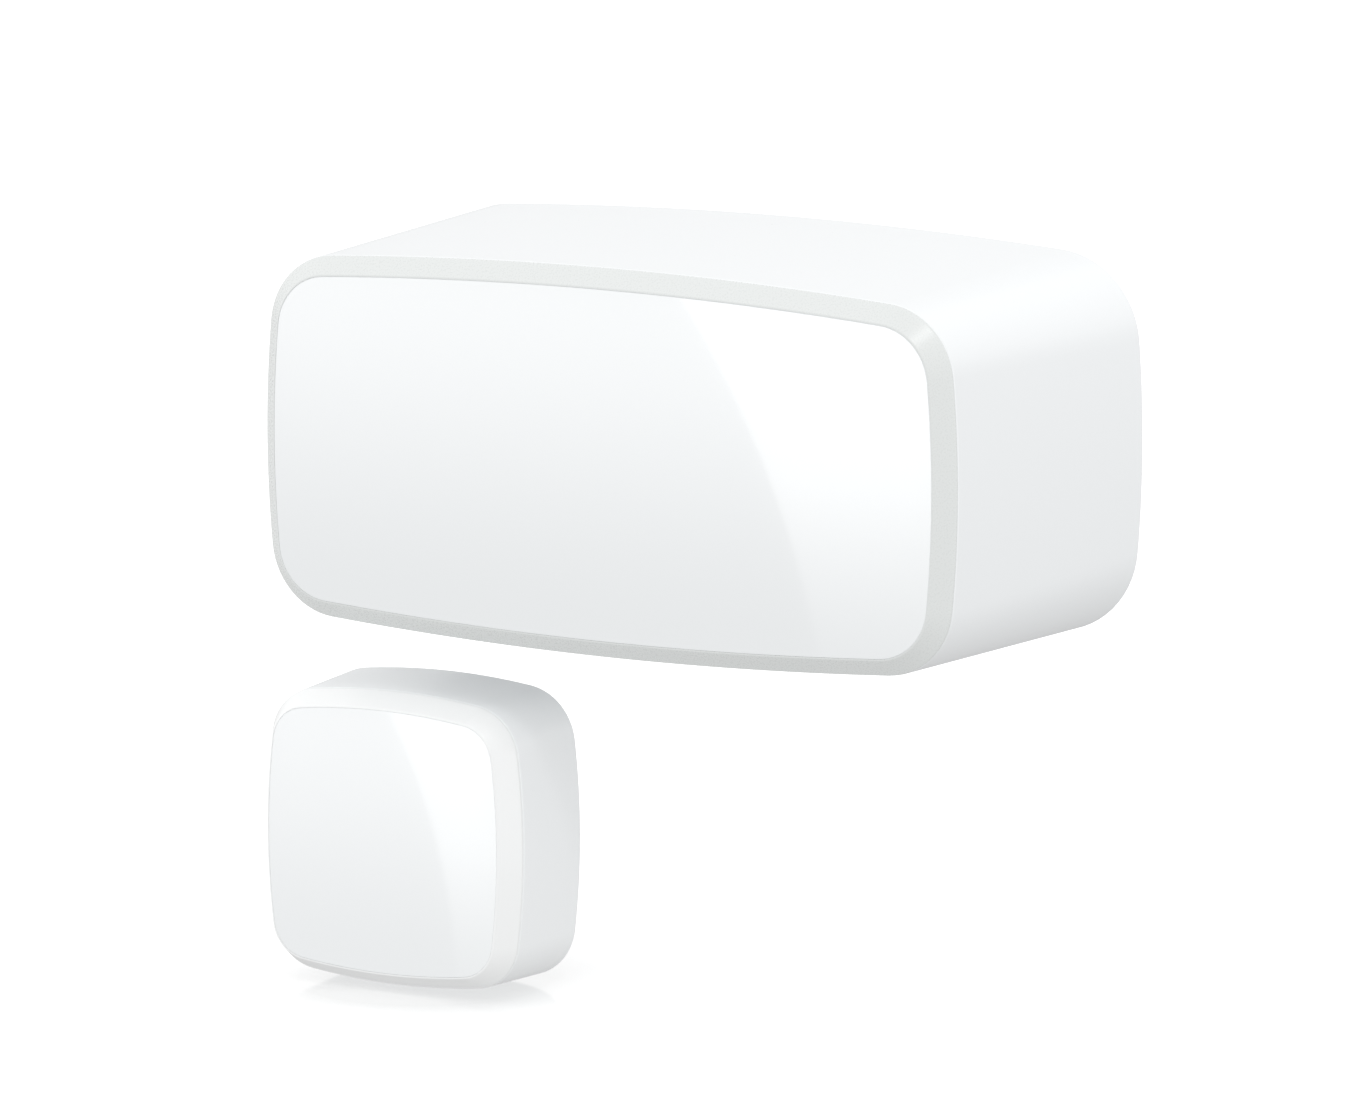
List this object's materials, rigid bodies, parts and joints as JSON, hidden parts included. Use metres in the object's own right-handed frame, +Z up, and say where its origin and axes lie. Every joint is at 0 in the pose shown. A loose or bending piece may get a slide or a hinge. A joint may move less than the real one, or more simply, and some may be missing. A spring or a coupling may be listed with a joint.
{
  "type": "door contact sensor",
  "caption": "Wireless door contact sensor: a deep rounded sensor unit for the frame and a small square magnet unit for the leaf, with a base plate, cell, board and reed switch.",
  "frame": {"origin": "middle of the adhesive face that holds the sensor unit's base plate on the frame, in the plane y = 0", "axes": "+X along the sensor unit's long side, +Y into the wall so that the front panels face -Y, +Z up"},
  "size_m": [0.052, 0.0239, 0.0479],
  "materials": {
    "shell_white": "fine satin, smooth moulded",
    "panel_gloss": "high gloss white",
    "bezel_satin": "satin, faint grey-green white",
    "magnet_bezel_satin": "satin white",
    "base_plastic": "fine spark-eroded texture",
    "foam_tape": "closed-cell foam tape with a matt film",
    "film": "thin adhesive film",
    "cradle_plastic": "natural nylon, slightly rough",
    "board": "solder mask over glass-fibre board",
    "screw_steel": "zinc plated, turned",
    "shield_tin": "tin plated sheet",
    "chip_black": "moulded epoxy",
    "crystal_can": "nickel plated",
    "antenna_ceramic": "glazed ceramic",
    "led_lens": "clear epoxy over phosphor",
    "tantalum": "moulded case",
    "capacitor_ceramic": "sintered ceramic",
    "resistor_black": "glazed film",
    "gold_pad": "gold plated",
    "switch_black": "glass-filled nylon",
    "button_grey": "acetal",
    "reed_tube": "green tinted glass",
    "reed_metal": "plated nickel-iron",
    "contact_nickel": "nickel plated spring steel",
    "spring_steel": "drawn wire",
    "solder": "tin solder",
    "cell_steel": "drawn nickel plated can",
    "cell_wrap": "shrunk sleeve, plain",
    "electrode_roll": "wound lithium, separator and carbon",
    "seal_black": "moulded seal",
    "magnet_plating": "nickel plated magnet",
    "cushion_foam": "open-cell foam"
  },
  "bodies": {
    "wall_side": {"base_plate": "base_plastic", "sensor_adhesive_pad": "foam_tape"},
    "sensor_unit": {"housing": "shell_white", "front_bezel": "bezel_satin", "front_panel": "panel_gloss", "panel_adhesive": "film", "cell_cradle": "cradle_plastic", "circuit_board": "board", "housing_screws": "screw_steel", "radio_shield": "shield_tin", "microcontroller": "chip_black", "crystal": "crystal_can", "chip_antenna": "antenna_ceramic", "status_led": "led_lens", "bulk_capacitor": "tantalum", "smd_capacitors": "capacitor_ceramic", "smd_resistors": "resistor_black", "test_pads": "gold_pad", "tact_switch_body": "switch_black", "reed_glass": "reed_tube", "reed_leads": "reed_metal", "reed_fixed_blade": "reed_metal", "positive_contact": "contact_nickel", "negative_contact": "contact_nickel", "negative_spring": "spring_steel", "contact_solder": "solder"},
    "cell": {"cell_can": "cell_steel", "cell_electrodes": "electrode_roll", "cell_cover": "cell_steel", "cell_seal": "seal_black", "cell_terminal": "cell_steel", "cell_sleeve": "cell_wrap"},
    "reset_button": {"reset_button": "button_grey"},
    "reed_blade": {"reed_moving_blade": "reed_metal"},
    "magnet_unit": {"magnet_housing": "shell_white", "magnet_bezel": "magnet_bezel_satin", "magnet_panel": "panel_gloss", "magnet_panel_adhesive": "film", "magnet_block": "magnet_plating", "magnet_cushion": "cushion_foam", "magnet_back_plate": "base_plastic", "magnet_adhesive_pad": "foam_tape"}
  },
  "joints": [
    {"name": "leaf_open", "type": "slide", "parent": "wall_side", "child": "magnet_unit", "axis": [0, -1, 0], "range_m": [0, 0.06]},
    {"name": "unit_release", "type": "slide", "parent": "wall_side", "child": "sensor_unit", "axis": [0, -1, 0], "range_m": [0, 0.05]},
    {"name": "cell_removal", "type": "slide", "parent": "sensor_unit", "child": "cell", "axis": [0, 1, 0], "range_m": [0, 0.025]},
    {"name": "reset_press", "type": "slide", "parent": "sensor_unit", "child": "reset_button", "axis": [0, -1, 0], "range_m": [0, 0.00025], "stiffness_N_per_m": 400},
    {"name": "reed_open", "type": "hinge", "parent": "sensor_unit", "child": "reed_blade", "pos_m": [-0.01965, -0.0172, -0.00725], "axis": [0, 0, -1], "range_deg": [0, 0.8]}
  ],
  "couplings": [
    {"joint": "cell_removal", "follows": "unit_release", "ratio": 0.5},
    {"joint": "reed_open", "follows": "leaf_open", "rad_per_m": 0.232}
  ]
}
